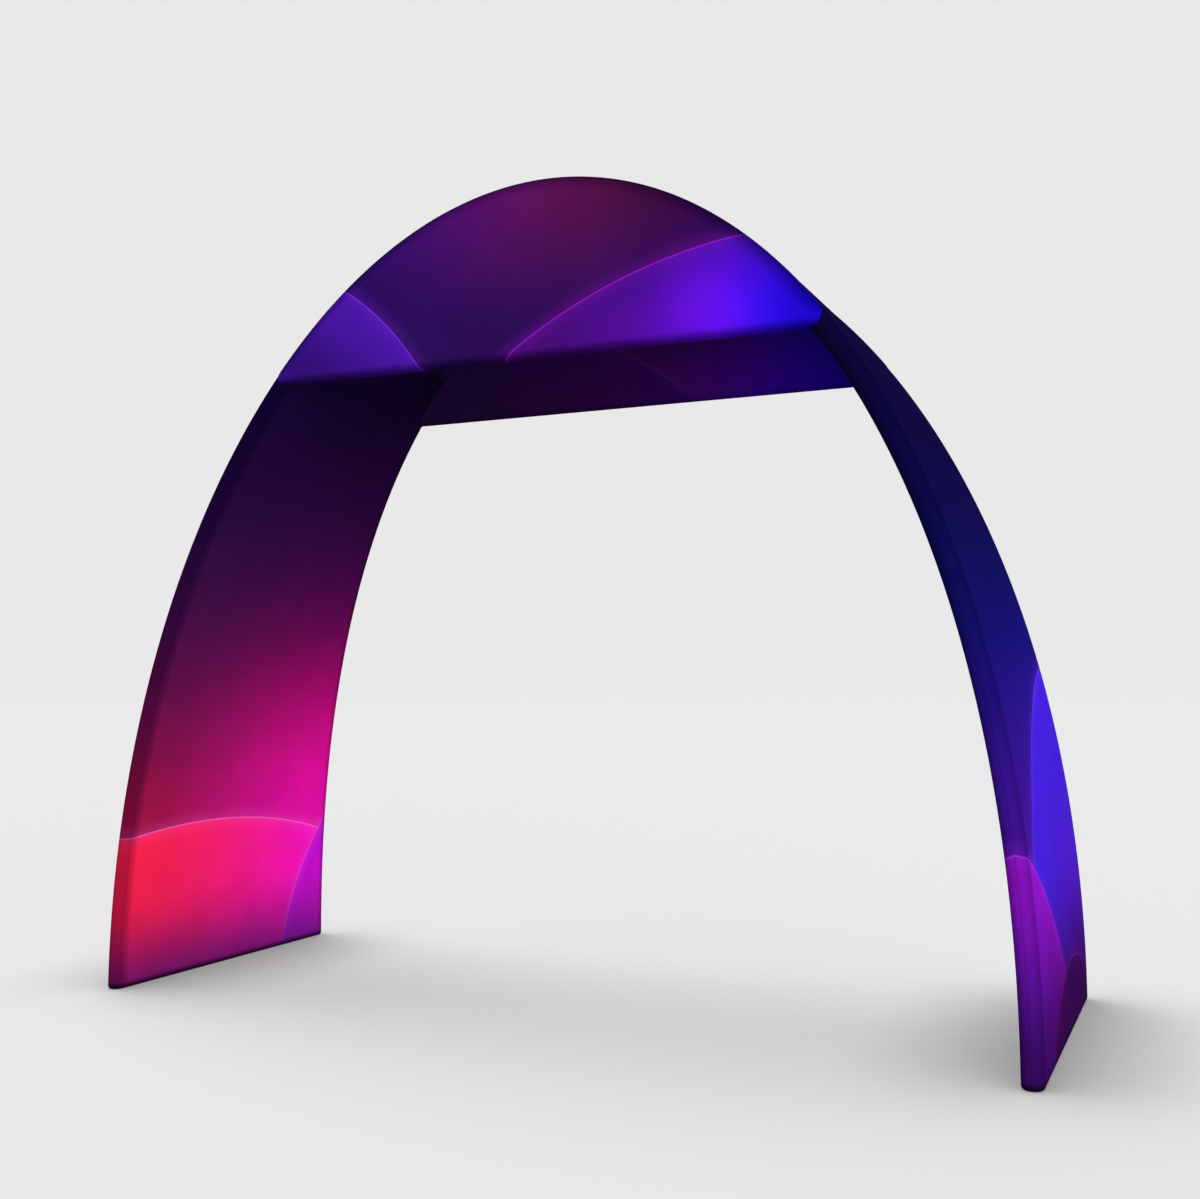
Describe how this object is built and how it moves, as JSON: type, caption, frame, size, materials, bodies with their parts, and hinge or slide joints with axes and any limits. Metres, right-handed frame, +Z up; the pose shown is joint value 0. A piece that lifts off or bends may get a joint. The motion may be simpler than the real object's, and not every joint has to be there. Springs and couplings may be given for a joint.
{
  "type": "tension fabric arch with tube frame",
  "caption": "Free-standing walk-through event arch: a printed stretch cover over a bent tube frame, with a solid header panel front and back.",
  "frame": {"origin": "on the floor, midway between the two feet and midway through the arch", "axes": "+X across the arch, +Y through it from the front header to the back one, +Z up"},
  "size_m": [2.828, 1.09, 2.4429],
  "materials": {
    "band_cloth": "printed stretch knit, smooth, slight sheen",
    "front_header_cloth": "printed stretch knit, smooth, slight sheen",
    "back_header_cloth": "printed stretch knit, smooth, slight sheen",
    "aluminium_tube": "satin"
  },
  "bodies": {
    "root": {"arch_cover": "band_cloth", "front_header_cover": "front_header_cloth", "back_header_cover": "back_header_cloth", "front_hoop": "aluminium_tube", "back_hoop": "aluminium_tube", "front_header_bar": "aluminium_tube", "back_header_bar": "aluminium_tube", "spreader_crown": "aluminium_tube", "spreader_left_foot": "aluminium_tube", "spreader_left_lower": "aluminium_tube", "spreader_left_upper": "aluminium_tube", "spreader_right_foot": "aluminium_tube", "spreader_right_lower": "aluminium_tube", "spreader_right_upper": "aluminium_tube"}
  },
  "joints": []
}
